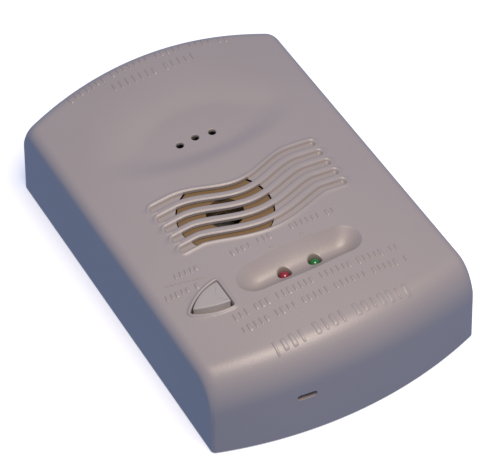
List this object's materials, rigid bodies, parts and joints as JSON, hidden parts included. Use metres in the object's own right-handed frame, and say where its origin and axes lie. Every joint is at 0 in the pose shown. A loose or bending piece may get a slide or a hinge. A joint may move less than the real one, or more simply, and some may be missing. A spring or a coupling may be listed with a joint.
{
  "type": "carbon monoxide detector",
  "caption": "Wall-mounted carbon monoxide detector: crowned ivory cover with a wavy sounder grille, sensor holes, two lamps in a basin and a triangular test button, on a clip-off wall plate.",
  "frame": {"origin": "middle of the wall plate's back, on the wall's surface, with the title end at +Y", "axes": "+Z out of the wall and out of the face, +Y towards the title end, +X to the right of someone who reads the face"},
  "size_m": [0.084, 0.129, 0.032],
  "materials": {
    "ivory_shell": "moulded ABS with a fine grain, warm ivory grey",
    "white_plate": "plain moulded nylon",
    "grey_tray": "moulded ABS",
    "relay_case": "smooth relay case",
    "black_part": "moulded black resin",
    "horn_tan": "tan moulded PBT",
    "foam": "closed-cell foam",
    "charcoal": "activated-carbon cloth",
    "board": "green solder mask on glass laminate",
    "terminal_green": "moulded green nylon",
    "steel_screw": "zinc plated",
    "can_steel": "drawn steel can",
    "brass": "rolled brass",
    "ceramic": "sintered, with a silvered face",
    "red_lens": "tinted clear epoxy dome",
    "green_lens": "tinted clear epoxy dome"
  },
  "bodies": {
    "wall_plate": {"mounting_plate": "white_plate"},
    "release_latch_finger": {"release_latch": "white_plate"},
    "detector": {"alarm_relay": "relay_case", "board_screw_1": "steel_screw", "board_screw_2": "steel_screw", "board_screw_3": "steel_screw", "board_screw_4": "steel_screw", "circuit_board": "board", "co_sensor_cap": "white_plate", "co_sensor_cell": "black_part", "co_sensor_filter": "charcoal", "co_sensor_pin_1": "brass", "co_sensor_pin_2": "brass", "co_sensor_pin_3": "brass", "cover_screw_1": "steel_screw", "cover_screw_2": "steel_screw", "cover_screw_3": "steel_screw", "cover_screw_4": "steel_screw", "crystal_can": "can_steel", "filter_capacitor": "black_part", "front_cover": "ivory_shell", "green_normal_led": "green_lens", "green_normal_led_spacer": "white_plate", "horn_base": "horn_tan", "horn_driver_coil": "black_part", "horn_gasket": "foam", "horn_housing": "horn_tan", "microcontroller": "black_part", "piezo_brass_disc": "brass", "piezo_ceramic_disc": "ceramic", "power_terminal_block": "terminal_green", "rear_housing": "grey_tray", "red_alarm_led": "red_lens", "red_alarm_led_spacer": "white_plate", "relay_terminal_block": "terminal_green", "sensor_gas_seal": "foam", "supply_capacitor": "black_part", "tact_switch_body": "black_part", "terminal_screw_1": "steel_screw", "terminal_screw_2": "steel_screw", "terminal_screw_3": "steel_screw", "terminal_screw_4": "steel_screw", "terminal_screw_5": "steel_screw", "terminal_screw_6": "steel_screw", "terminal_screw_7": "steel_screw", "terminal_screw_8": "steel_screw", "trouble_relay": "relay_case", "voltage_regulator": "black_part"},
    "button": {"test_button": "ivory_shell"},
    "switch_plunger": {"tact_switch_plunger": "grey_tray"}
  },
  "joints": [
    {"name": "detector_lift_off", "type": "slide", "parent": "wall_plate", "child": "detector", "axis": [0, 0, 1], "range_m": [0, 0.03]},
    {"name": "latch_flex", "type": "hinge", "parent": "wall_plate", "child": "release_latch_finger", "pos_m": [-0.0157, -0.0515, 0.0014], "axis": [-1, 0, 0], "range_deg": [0, 6], "stiffness_Nm_per_rad": 0.4},
    {"name": "test_press", "type": "slide", "parent": "detector", "child": "button", "axis": [0, 0, -1], "range_m": [0, 0.0008], "stiffness_N_per_m": 600, "springref_m": -0.0015},
    {"name": "plunger_press", "type": "slide", "parent": "detector", "child": "switch_plunger", "axis": [0, 0, -1], "range_m": [0, 0.001]}
  ],
  "couplings": [
    {"joint": "plunger_press", "follows": "test_press", "ratio": 1}
  ]
}
